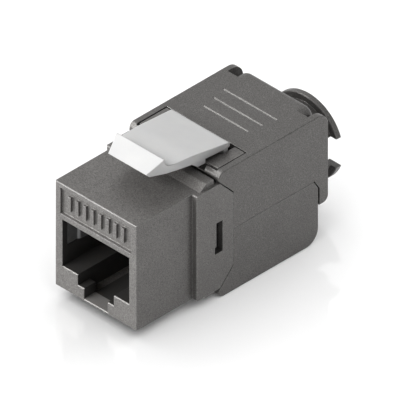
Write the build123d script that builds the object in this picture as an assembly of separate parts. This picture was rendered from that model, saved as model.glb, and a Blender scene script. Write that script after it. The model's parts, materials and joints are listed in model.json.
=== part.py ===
from build123d import *
import os

# Keystone jack, shielded and tool-less. Millimetres, +Z up, +Y from the front face to the cable.
# The origin is the bottom centre of the closed jack. In the functions a place is a depth behind
# the front face and a height above the underside of the front block.

# Front block and flange
block_width = 14.5
block_height = 16.15
block_depth = 10.0
shell_width = 16.2
flange_depth = 6.55
edge_break = 0.09
shoulder_break = 0.1

# Plug port in the front face
bezel_depth = 2.1
port_width = 12.0
port_floor = 3.48
port_top = 10.7
port_depth = 11.2
port_lead = 0.1
tab_step_width = 6.5
tab_step_floor = 1.88
tab_slot_width = 4.24
tab_slot_floor = 0.3

# Shallow field above the port, with eight plain bars for the contact positions
field_width = 12.7
field_floor = 11.45
field_top = 15.45
field_sink = 0.4
field_slope = 0.12
bar_pitch = 1.36
bar_width = 0.5
bar_floor = 12.5
bar_height = 2.2

# Cavity behind the port
sleeve_wall = 0.9
cavity_height = 14.0
sleeve_gap = 0.2
insert_play = 0.1

# Ridges across the top and bottom of the flange
ridge_start = 0.92
ridge_run = 1.22
ridge_rise = 0.74
ridge_rear = 3.5
ridge_foot_width = 15.4
ridge_top_width = 15.2

# Snap windows in the flange sides
window_length = 1.16
window_floor = 5.6
window_height = 4.75
window_foot_length = 0.25
window_foot_height = 1.1

# Hinges of the two covers and the jaws that hold them
cover_height = 19.3
cover_wall = 0.9
cover_front_radius = 0.95
cover_front_reach = 2.55
cover_nose_height = 0.25
hinge_bar_radius = 0.5
hinge_play = 0.08
hinge_relief = 0.06
seam_gap = 0.04
parting_gap = 0.06
slant_drop = 2.76
slant_gap = 0.15
jaw_overlap = 0.07
jaw_drop = 0.05
jaw_length = 4.82
nose_depth = 0.46
nose_play = 0.06

# Covers
cover_depth = 15.25
plate_gap = 0.17
rear_wall = 0.9
rear_wall_inset = 1.0
lower_corner_radius = 2.2
upper_corner_radius = 2.0
tail_gap = 0.2
tail_depth = 1.6
tail_drop = 4.15
tail_radius = 1.0
cover_edge_break = 0.12
lock_chamfer_length = 0.9
lock_chamfer_drop = 1.5

# Grip grooves on the upper cover
groove_count = 3
groove_first = 3.5
groove_pitch = 2.2
groove_width = 0.28
groove_sink = 0.18
groove_length = 8.0
groove_length_step = 0.8

# Collar round the cable, split between the covers
collar_bore = 8.6
collar_neck_width = 10.5
collar_flange_width = 12.4
collar_flange_length = 0.9
collar_neck_length = 4.3
collar_split = 4.4
collar_base_width = 12.6
collar_base_length = 2.2
collar_base_radius = 1.5
collar_base_rounding = 1.0
collar_edge_break = 0.1

# Contact carrier and its eight spring contacts
carrier_wall = 1.0
contact_count = 8
contact_pitch = 1.02
contact_width = 0.45
contact_thickness = 0.3
contact_slot = 0.62
contact_slot_rise = 1.1
contact_front = 1.6
contact_front_drop = 1.0
contact_bend_radius = 0.4
contact_tip_drop = 2.4
contact_tip_reach = 0.25
contact_comb_depth = 0.6
contact_comb_drop = 3.0

# Circuit board
board_thickness = 1.0
board_hole_radius = 0.36
tail_reach = 0.4

# Insulation displacement block and its eight terminals
idc_base = 2.0
idc_height = 13.8
idc_row_offset = 4.9
idc_row_height = 3.4
idc_row_length = 5.8
idc_pitch = 2.8
idc_blade_width = 1.7
idc_blade_thickness = 0.4
idc_blade_play = 0.08
idc_blade_length = 6.6
idc_slit = 0.3
idc_slit_length = 3.2
idc_tip_taper = 0.4
idc_tail_width = 0.4
wire_channel = 1.1
wire_channel_length = 3.6
snap_reach = 1.2
snap_lead = 0.5
snap_play = 0.12
snap_setback = 0.28

# Wire manager
manager_plate = 3.0
manager_width = 12.4
manager_height = 13.2
manager_corner = 1.2
manager_tube_width = 8.8
manager_bore = 7.2
manager_rear_gap = 0.3
manager_groove_depth = 1.0

# Shield springs in the port walls
spring_thickness = 0.2
spring_height = 3.2
spring_floor = 6.4
spring_front = 1.0
spring_flat = 1.7
spring_bow = 0.3
spring_bow_run = 0.3
spring_mid_run = 2.6
spring_rear_run = 4.0
spring_tail = 0.5
spring_bend = 0.3
spring_play = 0.1

# Release latch, with heights above the top of the covers
latch_pivot_depth = 3.35
latch_pivot_drop = 1.7
latch_root_radius = 0.5
latch_root_play = 0.06
latch_root_width = 10.0
latch_leg = 0.7
latch_notch_width = 10.4
latch_notch_front = 0.85
latch_seat_lip = 0.3
latch_leg_sink = 0.3
latch_rear_width = 10.4
latch_waist_width = 9.25
latch_waist_run = 8.7
latch_lip_width = 8.6
latch_tip_width = 6.8
latch_heel = 1.15
latch_heel_slope = 0.75
latch_heel_radius = 0.25
latch_heel_top = 1.1
latch_rear_underside = 0.38
latch_front_underside = 1.0
latch_back_height = 1.9
latch_back_run = 5.8
latch_back_radius = 15.0
latch_underside_run = 8.7
latch_lip_run = 10.15
latch_lip_foot = 2.15
latch_lip_top = 3.3
latch_lip_slope = 0.1
latch_lip_fillet = 0.8
latch_tip_run = 12.68
latch_tip_height = 1.68
latch_tip_chamfer = 0.43
latch_catch_front = 5.9
latch_catch_height = 0.6
latch_catch_slope = 1.0
latch_catch_length = 1.3
latch_catch_drop = 0.2
latch_underside = 0.47
latch_recess_width = 10.9
latch_recess_floor = 0.85
latch_corner = 1.0

# Widths that follow from the shell
cover_inner_width = shell_width - 2 * cover_wall
sleeve_width = cover_inner_width - 2 * sleeve_gap
cavity_width = sleeve_width - 2 * sleeve_wall

# Places along the depth
shoulder = block_depth
seam = shoulder + flange_depth
hinge_depth = seam - cover_front_reach + cover_front_radius
cover_front = seam - cover_front_reach
jaw_front = hinge_depth - jaw_overlap
nose_rear = cover_front + nose_depth
jaw_rear = jaw_front + jaw_length
plate_front = jaw_rear + plate_gap
lower_rear = seam + cover_depth
wall_rear = lower_rear - rear_wall_inset
wall_front = wall_rear - rear_wall
tail_front = lower_rear + tail_gap
tail_rear = tail_front + tail_depth
collar_front = wall_rear + collar_base_length
flange_front = collar_front + collar_neck_length
overall_length = flange_front + collar_flange_length
board_front = port_depth + carrier_wall
idc_front = board_front + board_thickness
window_front = idc_front + snap_setback
idc_rear = idc_front + idc_base + idc_row_length
manager_rear = idc_rear + manager_plate
tube_rear = wall_front - manager_rear_gap

# Places along the height
middle = block_height / 2
block_bottom = (cover_height - block_height) / 2
cover_top = middle + cover_height / 2
hinge_height = cover_top - cover_front_radius
cavity_top = middle + cavity_height / 2
cavity_floor = middle - cavity_height / 2
jaw_top = cover_top - jaw_drop
seam_back = seam + seam_gap
slant_top = hinge_height - cover_nose_height
slant_bottom = slant_top - slant_drop
pivot_depth = hinge_depth + latch_pivot_depth
pivot_height = cover_top - latch_pivot_drop
contact_height = port_top + contact_slot_rise - contact_thickness / 2
front_y = -overall_length / 2
cutter = shell_width + cover_height + overall_length


def at(depth, height):
    return (front_y + depth, block_bottom + height)


def across(profile, width, centre=0):
    """Extrude a side profile across the width, about a centre line."""
    plane = Plane.YZ.offset(centre - width / 2)
    return extrude(plane * profile, amount=width, dir=plane.z_dir)


def outline(points):
    """A closed side profile from depth and height pairs."""
    return Polygon(*[at(depth, height) for depth, height in points], align=None)


def along(profile, depth_from, depth_to):
    """Extrude a front profile, drawn about the middle height, along the depth."""
    start = (0, front_y + depth_from, block_bottom + middle)
    plane = Plane(origin=start, x_dir=(1, 0, 0), z_dir=(0, -1, 0))
    return extrude(plane * profile, amount=depth_to - depth_from, dir=(0, 1, 0))


def upward(profile, height_from, thickness):
    """Extrude a plan profile upward from a height."""
    return extrude(Plane.XY.offset(block_bottom + height_from) * profile, amount=thickness, dir=(0, 0, 1))


def block(width, depth_from, depth_to, height_from, height_to, centre=0):
    """A straight-sided block between two depths and two heights."""
    floor = [(depth_from, height_from), (depth_to, height_from)]
    top = [(depth_to, height_to), (depth_from, height_to)]
    return across(outline(floor + top), width, centre)


def rod(radius, width, depth, height):
    """A round bar across the width."""
    return across(Pos(*at(depth, height)) * Circle(radius), width)


def ring(outer_width, bore_width, depth_from, depth_to):
    """A round sleeve about the cable axis."""
    return along(Circle(outer_width / 2) - Circle(bore_width / 2), depth_from, depth_to)


def upside_down(solid):
    """The twin of a shape below the middle plane."""
    return mirror(solid, about=Plane.XY.offset(block_bottom + middle))


def both_sides(solid):
    """A shape and its twin on the other side of the centre plane."""
    return solid + mirror(solid, about=Plane.YZ)


def row(count, pitch):
    """Centre lines of a row of equal pieces."""
    return [pitch * (index - (count - 1) / 2) for index in range(count)]


def port_steps():
    """Width and floor of each step of the plug opening."""
    return [(port_width, port_floor), (tab_step_width, tab_step_floor), (tab_slot_width, tab_slot_floor)]


def port_step(width, floor):
    """One step of the plug opening through the bezel, with a lead at the front of its floor."""
    opening = along(front_window(width, floor, port_top), 0, bezel_depth)
    return opening + across(outline([(0, floor), (0, floor - port_lead), (port_lead, floor)]), width)


def front_window(width, height_from, height_to):
    """A rectangle centred across the width, as a front profile about the middle height."""
    rise = (height_from + height_to) / 2 - middle
    return Pos(0, rise) * Rectangle(width, height_to - height_from)


def slant_room():
    """Side profile of the room that the housing leaves for a cover, with its gap at the slanted seam."""
    front = shoulder + ridge_rear
    steepness = slant_drop / (seam_back - cover_front)
    drop = slant_gap * (1 + steepness**2) ** 0.5
    height_front = slant_top - drop + steepness * (cover_front - front)
    height_rear = slant_top - drop - steepness * (seam - cover_front)
    return outline([(front, height_front), (seam, height_rear), (seam, cutter), (front, cutter)])


def ridge():
    """Ramped ridge across the flange, with slanted ends inside the flange sides."""
    start = shoulder + ridge_start
    rear = shoulder + ridge_rear
    top = block_height + ridge_rise
    profile = outline([
        (start, block_height),
        (rear, block_height),
        (rear, top),
        (start + ridge_run, top),
    ])
    solid = across(profile, shell_width)
    side = shell_width / 2
    slope = Polygon(
        (side, 0),
        (side, ridge_rise),
        (ridge_top_width / 2, ridge_rise),
        (ridge_foot_width / 2, 0),
        align=None,
    )
    cut = along(Pos(0, block_height - middle) * slope, 0, seam)
    return solid - both_sides(cut)


def jaw():
    """Block behind the hinge bar, with a thin lip over the bar."""
    solid = block(sleeve_width, jaw_front, jaw_rear, cavity_top, jaw_top)
    return solid - rod(hinge_bar_radius + hinge_play, sleeve_width, hinge_depth, hinge_height)


def nose_room():
    """Round room under the hinge for the cover's nose as it swings down."""
    room = rod(cover_front_radius + hinge_relief, sleeve_width, hinge_depth, hinge_height)
    rear = hinge_depth + cover_nose_height + nose_play
    return room & block(sleeve_width, seam - cutter, rear, cavity_top, hinge_height)


def latch_seat():
    """Notch for the latch leg, with a round seat for its root."""
    floor = pivot_height + latch_seat_lip
    notch = block(latch_notch_width, pivot_depth - latch_notch_front, cutter, floor, cutter)
    return notch + rod(latch_root_radius + latch_root_play, latch_notch_width, pivot_depth, pivot_height)


def snap_window():
    """Window for the snap of the insert, with a wider foot."""
    front = window_front
    rear = front + window_length
    top = window_floor + window_height
    foot = front - window_foot_length
    foot_top = window_floor + window_foot_height
    rear_side = [(rear, window_floor), (rear, top)]
    front_side = [(front, top), (front, foot_top), (foot, foot_top), (foot, window_floor)]
    return across(outline(rear_side + front_side), cutter)


def spring_pocket():
    """Shallow pocket in a port wall for the foot of a shield spring."""
    depth_to = spring_end() + spring_play
    floor = spring_floor - spring_play
    top = spring_floor + spring_height + spring_play
    width = spring_thickness
    return block(width, spring_front - spring_play, depth_to, floor, top, port_width / 2 + width / 2)


def spring_end():
    return spring_front + spring_flat + spring_bow_run + spring_mid_run + spring_rear_run + spring_tail


def front_housing():
    solid = along(Rectangle(block_width, block_height), 0, shoulder + shoulder_break)
    front_edges = solid.faces().sort_by(Axis.Y)[0].edges()
    solid = chamfer(front_edges, edge_break)
    flange = along(Rectangle(shell_width, block_height), shoulder, seam)
    solid += chamfer(flange.faces().sort_by(Axis.Y)[0].edges(), shoulder_break)
    solid += ridge() + upside_down(ridge())

    # Field with contact bars
    slope_top = field_floor + field_slope
    profile = outline([(0, field_floor), (field_sink, slope_top), (field_sink, field_top), (0, field_top)])
    field = across(profile, field_width)
    for centre in row(contact_count, bar_pitch):
        field -= block(bar_width, 0, field_sink, bar_floor, bar_floor + bar_height, centre)
    solid -= field

    # Port and cavity
    for width, floor in port_steps():
        solid -= port_step(width, floor)
    solid -= along(front_window(port_width, port_floor, port_top), 0, port_depth)
    solid -= along(front_window(tab_step_width, tab_slot_floor, port_floor), bezel_depth, port_depth)
    solid -= block(cavity_width, bezel_depth, port_depth, port_top, cavity_top)
    solid -= block(cavity_width, port_depth, seam, cavity_floor, cavity_top)
    solid -= both_sides(spring_pocket())
    solid -= snap_window()

    # Room for the covers where they wrap round the flange sides
    wrap = across(slant_room(), shell_width)
    wrap += rod(cover_front_radius + hinge_relief, shell_width, hinge_depth, hinge_height)
    wrap -= block(sleeve_width, 0, cutter, 0, cutter)
    solid -= wrap + upside_down(wrap)

    # Sleeve inside the covers, with the jaws of both hinges
    sleeve = along(Rectangle(sleeve_width, block_height), seam, jaw_rear)
    sleeve += jaw() + upside_down(jaw())
    sleeve -= along(Rectangle(cavity_width, cavity_height), seam, jaw_rear)
    sleeve -= latch_seat()
    return solid + sleeve - nose_room() - upside_down(nose_room())


def contact_carrier():
    depth_from = bezel_depth + insert_play
    width = cavity_width - 2 * insert_play
    top = cavity_top - insert_play
    solid = block(width, depth_from, board_front, port_top, top)
    solid += block(width, port_depth, board_front, cavity_floor + insert_play, port_top)
    slot_top = port_top + contact_slot_rise
    slot_front = bezel_depth + contact_front - contact_slot
    for centre in row(contact_count, contact_pitch):
        solid -= block(contact_slot, slot_front, board_front, port_top, slot_top, centre)
        comb_rear = port_depth + contact_comb_depth
        solid -= block(contact_slot, port_depth, comb_rear, port_top - contact_comb_drop, port_top, centre)
    return solid


def contact(centre):
    """One spring wire, from the board to the front of the carrier and back down into the port."""
    front = bezel_depth + contact_front
    rear = idc_front + tail_reach
    tip = port_depth + contact_tip_reach
    points = [
        at(rear, contact_height),
        at(front, contact_height),
        at(front, contact_height - contact_front_drop),
        at(tip, port_top - contact_tip_drop),
    ]
    wire = FilletPolyline(*points, radius=contact_bend_radius)
    return across(trace(wire, contact_thickness), contact_width, centre)


def idc_places():
    """Across and up places of the eight terminals."""
    heights = [middle + idc_row_offset, middle - idc_row_offset]
    return [(centre, height) for height in heights for centre in row(contact_count // 2, idc_pitch)]


def circuit_board():
    width = cavity_width - 2 * insert_play
    solid = block(width, board_front, idc_front, cavity_floor + insert_play, cavity_top - insert_play)
    places = [(centre, contact_height) for centre in row(contact_count, contact_pitch)] + idc_places()
    holes = [Pos(centre, height - middle) * Circle(board_hole_radius) for centre, height in places]
    return solid - along(Sketch() + holes, board_front, idc_front)


def insert_snap():
    """Hook of the insert that catches in the window of the flange."""
    half = cavity_width / 2 - insert_play
    front = front_y + window_front + snap_play
    rear = front + window_length - 2 * snap_play
    outer = half + snap_reach
    hook = Polygon((half, front), (outer, rear - snap_lead), (outer, rear), (half, rear), align=None)
    return upward(hook, window_floor + snap_play, window_height - 2 * snap_play)


def idc_block():
    width = cavity_width - 2 * insert_play
    base_rear = idc_front + idc_base
    half = idc_height / 2
    solid = block(width, idc_front, base_rear, middle - half, middle + half)
    for height in (middle - idc_row_offset, middle + idc_row_offset):
        solid += block(width, base_rear, idc_rear, height - idc_row_height / 2, height + idc_row_height / 2)
    for centre, height in idc_places():
        floor = height - idc_blade_thickness / 2 - idc_blade_play
        top = height + idc_blade_thickness / 2 + idc_blade_play
        solid -= block(idc_blade_width + 2 * idc_blade_play, idc_front, idc_rear, floor, top, centre)
        front = idc_rear - wire_channel_length
        half_row = idc_row_height / 2
        solid -= block(wire_channel, front, idc_rear, height - half_row, height + half_row, centre)
    relief = contact_pitch * contact_count
    low = contact_height - board_hole_radius
    solid -= block(relief, idc_front, idc_front + 2 * tail_reach, low, contact_height + board_hole_radius)
    return solid + both_sides(insert_snap())


def idc_terminal(centre, height):
    """Forked blade with a tail in the board."""
    half = idc_blade_width / 2
    start = front_y + idc_front
    tip = start + idc_blade_length
    blade = Polygon(
        (centre - half, start),
        (centre + half, start),
        (centre + half, tip - idc_tip_taper),
        (centre + half - idc_tip_taper, tip),
        (centre - half + idc_tip_taper, tip),
        (centre - half, tip - idc_tip_taper),
        align=None,
    )
    blade -= Pos(centre, tip - idc_slit_length / 2) * Rectangle(idc_slit, idc_slit_length)
    tail = board_thickness - insert_play
    blade += Pos(centre, start - tail / 2) * Rectangle(idc_tail_width, tail)
    return upward(blade, height - idc_blade_thickness / 2, idc_blade_thickness)


def wire_manager():
    solid = along(RectangleRounded(manager_width, manager_height, manager_corner), idc_rear, manager_rear)
    solid += ring(manager_tube_width, manager_bore, manager_rear, tube_rear)
    solid -= along(Circle(manager_bore / 2), idc_rear, manager_rear)
    groove_rear = idc_rear + manager_groove_depth
    centres = row(contact_count // 2, idc_pitch)
    for centre in centres:
        solid -= block(wire_channel, idc_rear, groove_rear, 0, block_height, centre)
    link = centres[-1] - centres[0] + wire_channel
    return solid - block(link, idc_rear, groove_rear, middle - idc_pitch / 2, middle + idc_pitch / 2)


def shield_spring():
    """Bowed leaf in the right wall of the port."""
    wall = port_width / 2 + spring_thickness / 2
    depth = front_y + spring_front
    bow_front = depth + spring_flat
    bow = bow_front + spring_bow_run
    crest = bow + spring_mid_run
    foot = crest + spring_rear_run
    points = [
        (wall, depth),
        (wall, bow_front),
        (wall - spring_bow, bow),
        (wall - spring_bow - spring_thickness, crest),
        (wall, foot),
        (wall, foot + spring_tail),
    ]
    leaf = trace(FilletPolyline(*points, radius=spring_bend), spring_thickness)
    return upward(leaf, spring_floor, spring_height)


def rounded(profile, depth, height, radius):
    """Round the corner of a side profile that lies at one place."""
    place = (*at(depth, height), 0)
    return fillet(profile.vertices().sort_by_distance(place)[0], radius)


def upper_side():
    """Side plate of the upper cover, with the tail that locks the lower one."""
    tail_end = middle - tail_drop
    seam_height = middle + parting_gap / 2
    profile = outline([
        (cover_front, slant_top),
        (cover_front, cover_top),
        (tail_rear, cover_top),
        (tail_rear, tail_end),
        (tail_front, tail_end),
        (tail_front, middle - lock_chamfer_drop),
        (tail_front - lock_chamfer_length, seam_height),
        (seam_back, seam_height),
        (seam_back, slant_bottom),
    ])
    profile = rounded(profile, cover_front, cover_top, cover_front_radius)
    profile = rounded(profile, tail_rear, cover_top, upper_corner_radius)
    return rounded(profile, tail_rear, tail_end, tail_radius)


def lower_side():
    """Side plate of the lower cover, drawn upside down."""
    seam_height = middle + parting_gap / 2
    profile = outline([
        (cover_front, slant_top),
        (cover_front, cover_top),
        (lower_rear, cover_top),
        (lower_rear, middle + lock_chamfer_drop),
        (lower_rear - lock_chamfer_length, seam_height),
        (seam_back, seam_height),
        (seam_back, slant_bottom),
    ])
    profile = rounded(profile, cover_front, cover_top, cover_front_radius)
    return rounded(profile, lower_rear, cover_top, lower_corner_radius)


def collar_half():
    """Upper half of the split collar, with the base that carries it."""
    section = RectangleRounded(collar_base_width, cover_height, collar_base_radius)
    base = along(section, wall_rear, collar_front)
    rim = base.faces().sort_by(Axis.Y)[-1].edges()
    base = fillet(rim, collar_base_rounding)
    base -= block(collar_base_width, 0, cutter, -cutter, middle + parting_gap / 2)
    neck = ring(collar_neck_width, collar_bore, wall_rear, overall_length)
    flange = ring(collar_flange_width, collar_bore, flange_front, overall_length)
    outer = flange.edges().filter_by(GeomType.CIRCLE).sort_by(SortBy.RADIUS)[-2:]
    neck += chamfer(outer, collar_edge_break)
    neck -= block(collar_flange_width, 0, cutter, -cutter, middle + collar_split / 2)
    return base + neck


def cover_half(side_profile):
    """Hollow cover: two side plates, hinge bar, top, rear wall and half of the collar."""
    under = cover_top - cover_wall
    solid = across(side_profile, shell_width)
    solid = chamfer(solid.edges().filter_by(Axis.Y).group_by(Axis.Z)[-1], cover_edge_break)
    solid -= block(cover_inner_width, 0, cutter, -cutter, cutter)
    solid += block(cover_inner_width, plate_front, wall_rear, under, cover_top)
    solid += block(cover_inner_width, wall_front, wall_rear, middle + parting_gap / 2, cover_top)
    solid += rod(hinge_bar_radius, cover_inner_width, hinge_depth, hinge_height)
    nose = across(side_profile, cover_inner_width)
    solid += nose & block(cover_inner_width, cover_front, nose_rear, slant_top, cover_top)
    solid += collar_half()
    return solid - along(Circle(collar_bore / 2), wall_front, overall_length)


def grip_groove(number):
    """Wedge-shaped groove across the top, steep on its front side."""
    rear = plate_front + groove_first + groove_pitch * number
    floor = cover_top - groove_sink
    front = rear - groove_width
    profile = outline([(front, cover_top), (front, floor), (rear, cover_top)])
    return across(profile, groove_length + groove_length_step * number)


def upper_cover():
    solid = cover_half(upper_side())
    floor = cover_top - latch_recess_floor
    solid -= block(latch_recess_width, cover_front, jaw_rear, floor, cutter)
    for number in range(groove_count):
        solid -= grip_groove(number)
    return solid


def lower_cover():
    return upside_down(cover_half(lower_side()))


def latch_side():
    """Side profile of the lever, from its sloped heel over the back to the lip and the tip."""
    heel = pivot_depth + latch_heel
    heel_top = heel - latch_heel_slope
    back = pivot_depth - latch_back_run
    lip = pivot_depth - latch_lip_run
    tip = pivot_depth - latch_tip_run
    catch = pivot_depth - latch_catch_front
    catch_floor = cover_top - latch_catch_drop
    profile = outline([
        (heel, cover_top + latch_rear_underside),
        (heel_top, cover_top + latch_heel_top),
        (back, cover_top + latch_back_height),
        (lip, cover_top + latch_lip_foot),
        (lip - latch_lip_slope, cover_top + latch_lip_top),
        (tip, cover_top + latch_tip_height),
        (tip + latch_tip_chamfer, cover_top + latch_tip_height - latch_tip_chamfer),
        (pivot_depth - latch_underside_run, cover_top + latch_front_underside),
        (catch, cover_top + latch_catch_height),
        (catch + latch_catch_slope, catch_floor),
        (catch + latch_catch_slope + latch_catch_length, catch_floor),
        (catch + latch_catch_slope + latch_catch_length, cover_top + latch_underside),
        (pivot_depth - latch_leg, cover_top + latch_rear_underside),
    ])
    profile = rounded(profile, heel_top, cover_top + latch_heel_top, latch_heel_radius)
    profile = rounded(profile, back, cover_top + latch_back_height, latch_back_radius)
    return rounded(profile, lip, cover_top + latch_lip_foot, latch_lip_fillet)


def latch_plan():
    """Tapered plan of the lever, with rounded rear corners."""
    heel = front_y + pivot_depth + latch_heel
    lip = front_y + pivot_depth - latch_lip_run
    tip = front_y + pivot_depth - latch_tip_run
    waist = front_y + pivot_depth - latch_waist_run
    front = [(latch_tip_width / 2, tip), (latch_lip_width / 2, lip)]
    halves = front + [(latch_waist_width / 2, waist), (latch_rear_width / 2, heel)]
    twins = [(-half, depth) for half, depth in reversed(halves)]
    plan = Polygon(*halves, *twins, align=None)
    return fillet(plan.vertices().sort_by(Axis.Y)[-2:], latch_corner)


def release_latch():
    lever = across(latch_side(), latch_rear_width)
    lever &= upward(latch_plan(), 0, cutter)
    leg_top = cover_top + latch_rear_underside + latch_leg_sink
    half = latch_leg / 2
    leg = block(latch_root_width, pivot_depth - half, pivot_depth + half, pivot_height, leg_top)
    return lever + leg + rod(latch_root_radius, latch_root_width, pivot_depth, pivot_height)


def write(name, solid):
    export_step(solid, "parts/" + name + ".step")


def main():
    os.makedirs("parts", exist_ok=True)
    write("front_housing", front_housing())
    write("contact_carrier", contact_carrier())
    for number, centre in enumerate(row(contact_count, contact_pitch), 1):
        write("contact_" + str(number), contact(centre))
    write("circuit_board", circuit_board())
    write("idc_block", idc_block())
    for number, (centre, height) in enumerate(idc_places(), 1):
        write("idc_terminal_" + str(number), idc_terminal(centre, height))
    write("wire_manager", wire_manager())
    write("shield_spring_right", shield_spring())
    write("shield_spring_left", mirror(shield_spring(), about=Plane.YZ))
    write("upper_cover", upper_cover())
    write("lower_cover", lower_cover())
    write("release_latch", release_latch())


main()
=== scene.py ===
"""Looks of the keystone jack: satin speckled metal shells, a white latch, and a pale glossy floor.

Lengths are in metres, and colours in screen values from 0 to 255.
"""
import json

import bpy
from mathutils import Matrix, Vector

MM = 0.001

# Camera: an isometric view from the front right, with no perspective
VIEW_DIRECTION = Vector((1, -1, 1)).normalized()
VIEW_TARGET = Vector((0, -0.44 * MM, 8.94 * MM))
VIEW_WIDTH = 50.64 * MM
CAMERA_DISTANCE = 0.5
CAMERA_CLIP = (0.01, 10)

# Node trees: where most of a noise's values lie, and the Mix node's sockets for colours
NOISE_SPREAD = (0.3, 0.7)
BEVEL_SAMPLES = 6
MIX_FACTOR, MIX_FIRST, MIX_SECOND, MIX_RESULT = 0, 6, 7, 2

# Cast metal: a close grain under broad clouds, with pale flecks
GRAIN_SIZE = 0.14 * MM
GRAIN_TONES = ((70, 68, 66), (126, 124, 122))
GRAIN_ROUGHNESS = (0.44, 0.36)
GRAIN_HEIGHT = 0.012 * MM
CLOUD_SIZE = 3.5 * MM
CLOUD_SPREAD = (0.35, 0.65)
CLOUD_SHADE = 0.92
FLECK_SIZE = 0.16 * MM
FLECK_SPREAD = (0.9, 0.98)
FLECK_STRENGTH = 0.14
FLECK_TONE = (168, 167, 165)
CAST_METALLIC = 0.45
HOUSING_SHADE = 1.0
# The covers' copy of the cast metal is painted darker than the housing's, as painted shade.
COVER_PAINTED_SHADE = 0.87

# Cast metal's edges: paler where the plating is worn, and paler also as a painted highlight.
# EDGE_TURN gives the cosines between a rounded normal and the true one, on an edge and where the
# flat face begins.
EDGE_WIDTH = 0.12 * MM
EDGE_TURN = (0.93, 0.985)
EDGE_ROUGHNESS = 0.3
EDGE_ROUNDING = 0.1 * MM
WEAR_AND_HIGHLIGHT_SIZE = 0.5 * MM
WEAR_AND_HIGHLIGHT_SPREAD = (0.4, 0.6)
WEAR_AND_HIGHLIGHT_STRENGTH = (0.04, 0.22)
WEAR_AND_HIGHLIGHT_TONE = (205, 204, 202)

# Port: its inside is painted dark, partly as a dark liner and partly as painted shade, apart from
# a land at the front of its lowest floor that is painted paler, as painted light
PORT_INSIDE = ((-6.7 * MM, -18.98 * MM, 1.95 * MM), (6.7 * MM, -7.7 * MM, 12.33 * MM))
PORT_FLOOR_REAR = ((-2.2 * MM, -17.0 * MM, 1.8 * MM), (2.2 * MM, -7.7 * MM, 2.0 * MM))
PORT_FLOOR_PAINTED_LIGHT = ((-2.2 * MM, -18.98 * MM, 1.8 * MM), (2.2 * MM, -17.0 * MM, 1.94 * MM))
PORT_LINER_AND_SHADE_TONE = (61, 60, 59)
LAND_PAINTED_LIGHT_TONE = (154, 152, 150)
LAND_PAINTED_LIGHT_STRENGTH = 0.6

# Floor and world, whose colours are linear values
FLOOR_SIZE = 3.0
FLOOR_COLOUR = (0.9, 0.9, 0.9, 1)
FLOOR_CLOUD_SIZE = 0.4
FLOOR_ROUGHNESS = (0.02, 0.04)
FLOOR_GLOW = 0.05
FLOOR_IOR = 1.65
WHITE = (1, 1, 1, 1)
WORLD_LIGHT = 0.22
WORLD_SEEN = 1.0

# Pieces: the latch, and the starts of the names of those at the front of the housing
LATCH = "release_latch"
FRONT_NAMES = ("front_housing", "shield_spring", "contact")

# Soft lamps that face the part. Each lights one group of things, see lit_groups.
LAMP_TARGET = (0, 0, 0.01)
LAMPS = (
    # name, group, place, size, watts
    ("sky_lamp", "floor", (0, 0, 0.9), (1.8, 1.8), 9.6),
    ("ring_lamp_1", "floor", (0.55, 0, 0.6), (0.7, 0.5), 1.5),
    ("ring_lamp_2", "floor", (0, 0.55, 0.6), (0.7, 0.5), 1.5),
    ("ring_lamp_3", "floor", (-0.55, 0, 0.6), (0.7, 0.5), 1.5),
    ("ring_lamp_4", "floor", (0, -0.55, 0.6), (0.7, 0.5), 1.5),
    ("key_lamp", "body", (-0.2, -0.44, 0.16), (0.4, 0.34), 3.0),
    ("port_lamp", "front", (-0.08, -0.38, 0.31), (0.3, 0.2), 1.4),
    ("ridge_lamp", "front", (-0.3, -0.02, 0.42), (0.12, 0.12), 0.25),
    ("latch_lamp", "latch", (-0.24, -0.32, 0.35), (0.4, 0.34), 3.0),
    ("top_lamp", "rear", (-0.29, -0.13, 0.4), (0.2, 0.2), 0.95),
    ("edge_lamp", "body", (-0.3, -0.3, 0.3), (0.15, 0.15), 0.5),
)


def linear(value):
    """A screen value from 0 to 255 as Blender's linear value, by the sRGB curve."""
    value /= 255
    return value / 12.92 if value <= 0.04045 else ((value + 0.055) / 1.055) ** 2.4


def rgba(tone):
    """Blender's colour for a screen colour, or for a plain number as a grey."""
    if isinstance(tone, tuple):
        return (*map(linear, tone), 1)
    return (tone, tone, tone, 1)


def turn_to(thing, direction):
    """Turns a camera or lamp so that it looks along a direction."""
    thing.rotation_euler = direction.to_track_quat("-Z", "Y").to_euler()


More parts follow.
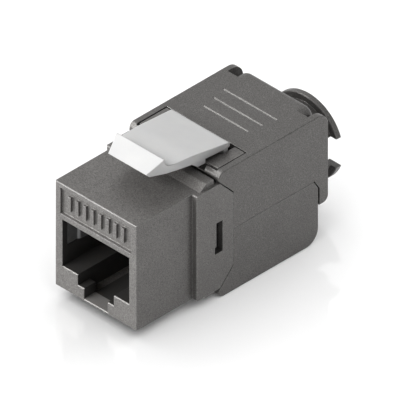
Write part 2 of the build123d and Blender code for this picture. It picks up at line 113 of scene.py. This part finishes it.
class Nodes:
    """A small writer for a material's node tree."""

    def __init__(self, name):
        self.material = bpy.data.materials.new(name)
        self.material.use_nodes = True
        self.tree = self.material.node_tree
        self.shader = self.tree.nodes["Principled BSDF"]

    def add(self, kind, **settings):
        node = self.tree.nodes.new(kind)
        for name, value in settings.items():
            setattr(node, name, value)
        return node

    def give(self, socket, value):
        """Joins a node's output to a socket, or sets the socket to a plain value."""
        if isinstance(value, bpy.types.NodeSocket):
            self.tree.links.new(value, socket)
        else:
            socket.default_value = value

    def set(self, **values):
        """Gives the shader's sockets outputs or plain values; an underscore stands for a space."""
        for name, value in values.items():
            self.give(self.shader.inputs[name.replace("_", " ")], value)

    def place(self):
        return self.add("ShaderNodeTexCoord").outputs["Object"]

    def math(self, operation, *values):
        node = self.add("ShaderNodeMath", operation=operation)
        for socket, value in zip(node.inputs, values):
            self.give(socket, value)
        return node.outputs[0]

    def noise(self, size, detail=2.0, roughness=0.5, stretch=(1, 1, 1)):
        """Noise whose features are about as large as size."""
        mapping = self.add("ShaderNodeMapping")
        self.give(mapping.inputs["Vector"], self.place())
        self.give(mapping.inputs["Scale"], stretch)
        texture = self.add("ShaderNodeTexNoise")
        self.give(texture.inputs["Vector"], mapping.outputs[0])
        self.give(texture.inputs["Scale"], 1 / size)
        self.give(texture.inputs["Detail"], detail)
        self.give(texture.inputs["Roughness"], roughness)
        return texture.outputs["Fac"]

    def cells(self, size):
        """Small cells with a random value each."""
        texture = self.add("ShaderNodeTexVoronoi")
        self.give(texture.inputs["Vector"], self.place())
        self.give(texture.inputs["Scale"], 1 / size)
        split = self.add("ShaderNodeSeparateColor")
        self.give(split.inputs[0], texture.outputs["Color"])
        return split.outputs[0]

    def stripes(self, size, distortion):
        """Bands across the part's width."""
        texture = self.add("ShaderNodeTexWave", wave_type="BANDS", bands_direction="X")
        self.give(texture.inputs["Vector"], self.place())
        self.give(texture.inputs["Scale"], 1 / size)
        self.give(texture.inputs["Distortion"], distortion)
        return texture.outputs["Fac"]

    def ramp(self, value, low, high, spread=NOISE_SPREAD):
        """Goes from one colour or grey to another as a value crosses a spread."""
        ramp = self.add("ShaderNodeValToRGB")
        first, second = ramp.color_ramp.elements
        first.position, second.position = spread
        first.color, second.color = rgba(low), rgba(high)
        self.give(ramp.inputs[0], value)
        return ramp.outputs[0]

    def mix(self, factor, first, second, blend="MIX"):
        """Blends two node outputs, or a node output with a plain colour."""
        node = self.add("ShaderNodeMix", data_type="RGBA", blend_type=blend)
        self.give(node.inputs[MIX_FACTOR], factor)
        self.give(node.inputs[MIX_FIRST], first)
        self.give(node.inputs[MIX_SECOND], second)
        return node.outputs[MIX_RESULT]

    def within(self, low, high):
        """1 inside a box between two corners, and 0 outside it."""
        split = self.add("ShaderNodeSeparateXYZ")
        self.give(split.inputs[0], self.place())
        inside = None
        for along, start, end in zip(split.outputs, low, high):
            near = self.math("COMPARE", along, (start + end) / 2, (end - start) / 2)
            inside = self.math("MULTIPLY", inside, near) if inside else near
        return inside

    def rounded(self, radius):
        """The surface's normal with its edges rounded off."""
        bevel = self.add("ShaderNodeBevel", samples=BEVEL_SAMPLES)
        self.give(bevel.inputs["Radius"], radius)
        return bevel.outputs[0]

    def edges(self, width, turn):
        """1 along edges and 0 on flat faces, from how far a rounded normal leaves the true one."""
        dot = self.add("ShaderNodeVectorMath", operation="DOT_PRODUCT")
        self.give(dot.inputs[0], self.rounded(width))
        self.give(dot.inputs[1], self.add("ShaderNodeNewGeometry").outputs["Normal"])
        return self.ramp(dot.outputs["Value"], 1.0, 0.0, spread=turn)

    def bump(self, pattern, height, strength, rounding=None):
        """Raises a pattern in the shading, with the edges rounded off there if asked."""
        node = self.add("ShaderNodeBump")
        self.give(node.inputs["Height"], pattern)
        self.give(node.inputs["Distance"], height)
        self.give(node.inputs["Strength"], strength)
        if rounding:
            self.give(node.inputs["Normal"], self.rounded(rounding))
        self.set(Normal=node.outputs[0])


def cast_metal(name, shade, port=False):
    """Die-cast shell with a fine dark satin plating: grain, clouds, pale flecks, and pale edges
    that are partly worn plating and partly a painted highlight.
    """
    nodes = Nodes(name)
    grain = nodes.noise(GRAIN_SIZE, detail=3.0, roughness=0.7)
    clouds = nodes.noise(CLOUD_SIZE, detail=3.0)
    depth = nodes.ramp(clouds, CLOUD_SHADE * shade, shade, spread=CLOUD_SPREAD)
    tone = nodes.mix(1.0, nodes.ramp(grain, *GRAIN_TONES), depth, "MULTIPLY")
    flecks = nodes.ramp(nodes.cells(FLECK_SIZE), 0.0, FLECK_STRENGTH, spread=FLECK_SPREAD)
    tone = nodes.mix(flecks, tone, rgba(FLECK_TONE))
    # Pale edges: partly worn plating, partly a painted highlight where the edges catch the light.
    edge = nodes.edges(EDGE_WIDTH, EDGE_TURN)
    wear_and_highlight = nodes.ramp(nodes.noise(WEAR_AND_HIGHLIGHT_SIZE, detail=4.0), *WEAR_AND_HIGHLIGHT_STRENGTH, spread=WEAR_AND_HIGHLIGHT_SPREAD)
    tone = nodes.mix(nodes.mix(1.0, edge, wear_and_highlight, "MULTIPLY"), tone, rgba(WEAR_AND_HIGHLIGHT_TONE))
    if port:
        # Painted shade: the port's inside gets a dark tone, partly for a dark liner and partly for
        # the shade inside it.
        liner_and_shade = nodes.math("MAXIMUM", nodes.within(*PORT_INSIDE), nodes.within(*PORT_FLOOR_REAR))
        tone = nodes.mix(liner_and_shade, tone, rgba(PORT_LINER_AND_SHADE_TONE))
        # Painted light: the front of the port's lowest floor is painted paler, as the light that
        # falls on it.
        painted_light_land = nodes.ramp(nodes.within(*PORT_FLOOR_PAINTED_LIGHT), 0.0, LAND_PAINTED_LIGHT_STRENGTH, spread=(0.0, 1.0))
        tone = nodes.mix(painted_light_land, tone, rgba(LAND_PAINTED_LIGHT_TONE))
    rough = nodes.mix(edge, nodes.ramp(grain, *GRAIN_ROUGHNESS), rgba(EDGE_ROUGHNESS))
    nodes.set(Base_Color=tone, Roughness=rough, Metallic=CAST_METALLIC)
    nodes.bump(grain, height=GRAIN_HEIGHT, strength=0.6, rounding=EDGE_ROUNDING)
    return nodes.material


def latch_plastic():
    """Smooth white moulded plastic with a faint mottle under a soft gloss."""
    nodes = Nodes("latch_plastic")
    mottle = nodes.noise(2.5 * MM, detail=3.0)
    gloss = nodes.noise(0.3 * MM, detail=3.0)
    pores = nodes.noise(0.12 * MM, detail=2.0)
    nodes.set(
        Base_Color=nodes.ramp(mottle, (220, 220, 220), (225, 225, 224)),
        Roughness=nodes.ramp(gloss, 0.46, 0.54),
        Subsurface_Weight=0.05,
        Subsurface_Radius=(0.6 * MM, 0.5 * MM, 0.45 * MM),
        Subsurface_Scale=1.0,
    )
    nodes.bump(pores, height=0.002 * MM, strength=0.5, rounding=0.18 * MM)
    return nodes.material


def dark_plastic(name, tones, grain_size, roughness):
    """Moulded plastic with a fine spark-eroded grain, which is less rough where it is paler."""
    nodes = Nodes(name)
    grain = nodes.noise(grain_size, detail=4.0, roughness=0.6)
    smooth, rough = roughness
    nodes.set(
        Base_Color=nodes.ramp(grain, *tones, spread=(0.35, 0.65)),
        Roughness=nodes.ramp(grain, rough, smooth),
    )
    nodes.bump(grain, height=0.006 * MM, strength=0.7, rounding=0.06 * MM)
    return nodes.material


def board_laminate():
    """Green solder mask over a faint glass weave."""
    nodes = Nodes("board_laminate")
    weave = nodes.stripes(1.2 * MM, distortion=0.4)
    nodes.set(
        Base_Color=nodes.ramp(weave, (22, 74, 46), (34, 98, 60), spread=(0.2, 0.8)),
        Roughness=nodes.ramp(nodes.noise(0.8 * MM), 0.22, 0.32),
        Coat_Weight=0.4,
        Coat_Roughness=0.12,
    )
    nodes.bump(weave, height=0.003 * MM, strength=0.5)
    return nodes.material


def strip_metal(name, tones, roughness, stretch, metallic=1.0):
    """Drawn strip metal with fine lines along its length."""
    nodes = Nodes(name)
    lines = nodes.noise(0.12 * MM, detail=4.0, roughness=0.6, stretch=stretch)
    nodes.set(
        Base_Color=nodes.ramp(lines, *tones),
        Roughness=nodes.ramp(lines, *roughness),
        Metallic=metallic,
    )
    nodes.bump(lines, height=0.003 * MM, strength=0.5, rounding=0.04 * MM)
    return nodes.material


def finish_nodes(frame):
    """Gives each CAD node the material of the slot that the record names for it."""
    finishes = {
        "housing_metal": cast_metal("housing_metal", HOUSING_SHADE, port=True),
        # The covers get a darker copy of the cast metal, as painted shade.
        "cover_metal": cast_metal("cover_metal", COVER_PAINTED_SHADE),
        "latch_plastic": latch_plastic(),
        "insert_plastic": dark_plastic(
            "insert_plastic",
            tones=((18, 18, 19), (33, 33, 34)),
            grain_size=0.15 * MM,
            roughness=(0.42, 0.58),
        ),
        "manager_plastic": dark_plastic(
            "manager_plastic",
            tones=((52, 53, 55), (70, 71, 73)),
            grain_size=0.18 * MM,
            roughness=(0.45, 0.62),
        ),
        "board_laminate": board_laminate(),
        "contact_plating": strip_metal(
            "contact_plating",
            tones=((206, 160, 84), (243, 205, 132)),
            roughness=(0.18, 0.32),
            stretch=(1, 0.15, 0.15),
        ),
        "terminal_metal": strip_metal(
            "terminal_metal",
            tones=((176, 177, 176), (222, 222, 219)),
            roughness=(0.28, 0.45),
            stretch=(1, 0.2, 1),
        ),
        "spring_steel": strip_metal(
            "spring_steel",
            tones=((98, 98, 99), (120, 120, 120)),
            roughness=(0.38, 0.5),
            stretch=(1, 0.15, 1),
            metallic=0.5,
        ),
    }
    slots = {part["node"]: part["material_slot"] for part in frame["record"]["subparts"]}
    for name, node in frame["nodes"].items():
        node.data.materials.clear()
        node.data.materials.append(finishes[slots[name]])


def make_camera():
    data = bpy.data.cameras.new("camera")
    data.type = "ORTHO"
    data.ortho_scale = VIEW_WIDTH
    data.clip_start, data.clip_end = CAMERA_CLIP
    camera = bpy.data.objects.new("camera", data)
    bpy.context.scene.collection.objects.link(camera)
    camera.location = VIEW_TARGET + VIEW_DIRECTION * CAMERA_DISTANCE
    turn_to(camera, -VIEW_DIRECTION)
    bpy.context.scene.camera = camera


def seen_directly(tree):
    """1 for rays from the camera, from gloss and through glass, 0 for the rest."""
    path = tree.nodes.new("ShaderNodeLightPath")
    total = path.outputs["Is Camera Ray"]
    for name in ("Is Glossy Ray", "Is Transmission Ray"):
        add = tree.nodes.new("ShaderNodeMath")
        add.operation = "ADD"
        add.use_clamp = True
        tree.links.new(total, add.inputs[0])
        tree.links.new(path.outputs[name], add.inputs[1])
        total = add.outputs[0]
    return total


def make_floor():
    """A wide glossy floor that carries the object's shadow and its mirror image."""
    half = FLOOR_SIZE / 2
    corners = [(-half, -half, 0), (half, -half, 0), (half, half, 0), (-half, half, 0)]
    mesh = bpy.data.meshes.new("floor")
    mesh.from_pydata(corners, [], [(0, 1, 2, 3)])
    floor = bpy.data.objects.new("floor", mesh)
    bpy.context.scene.collection.objects.link(floor)
    nodes = Nodes("floor_gloss")
    nodes.set(
        Base_Color=FLOOR_COLOUR,
        Roughness=nodes.ramp(nodes.noise(FLOOR_CLOUD_SIZE), *FLOOR_ROUGHNESS),
        IOR=FLOOR_IOR,
        Emission_Color=WHITE,
        Emission_Strength=nodes.math("MULTIPLY", seen_directly(nodes.tree), FLOOR_GLOW),
    )
    mesh.materials.append(nodes.material)
    return floor


def make_world():
    """A world that shows as white and lights the part weakly."""
    world = bpy.data.worlds.new("world")
    bpy.context.scene.world = world
    world.use_nodes = True
    tree = world.node_tree
    background = tree.nodes["Background"]
    background.inputs["Color"].default_value = WHITE
    strength = tree.nodes.new("ShaderNodeMapRange")
    strength.inputs["To Min"].default_value = WORLD_LIGHT
    strength.inputs["To Max"].default_value = WORLD_SEEN
    tree.links.new(seen_directly(tree), strength.inputs["Value"])
    tree.links.new(strength.outputs[0], background.inputs["Strength"])


def lit_groups(nodes, floor):
    """The floor, the latch, the body (all other pieces), and the body's front and rear pieces."""
    body = {name: node for name, node in nodes.items() if name != LATCH}
    return {
        "floor": [floor],
        "latch": [nodes[LATCH]],
        "body": list(body.values()),
        "front": [node for name, node in body.items() if name.startswith(FRONT_NAMES)],
        "rear": [node for name, node in body.items() if not name.startswith(FRONT_NAMES)],
    }


def make_lamp(name, place, size, watts, lit):
    """A soft rectangular lamp whose light is kept to some objects."""
    data = bpy.data.lights.new(name, "AREA")
    data.shape = "RECTANGLE"
    data.size, data.size_y = size
    data.energy = watts
    lamp = bpy.data.objects.new(name, data)
    bpy.context.scene.collection.objects.link(lamp)
    lamp.location = place
    turn_to(lamp, Vector(LAMP_TARGET) - Vector(place))
    receivers = bpy.data.collections.new(name + "_lights")
    for thing in lit:
        receivers.objects.link(thing)
    lamp.light_linking.receiver_collection = receivers


def make_lamps(groups):
    for name, group, place, size, watts in LAMPS:
        make_lamp(name, place, size, watts, groups[group])


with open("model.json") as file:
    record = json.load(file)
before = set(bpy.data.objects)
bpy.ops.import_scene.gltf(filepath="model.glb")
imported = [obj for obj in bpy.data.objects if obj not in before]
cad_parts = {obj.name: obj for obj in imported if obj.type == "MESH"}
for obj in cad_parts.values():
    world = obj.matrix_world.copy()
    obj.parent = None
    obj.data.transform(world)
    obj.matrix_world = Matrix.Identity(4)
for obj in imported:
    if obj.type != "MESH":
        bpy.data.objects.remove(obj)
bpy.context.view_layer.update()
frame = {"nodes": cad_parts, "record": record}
bpy.context.scene.view_settings.view_transform = "Standard"
make_camera()
make_world()
floor = make_floor()
make_lamps(lit_groups(frame["nodes"], floor))
finish_nodes(frame)
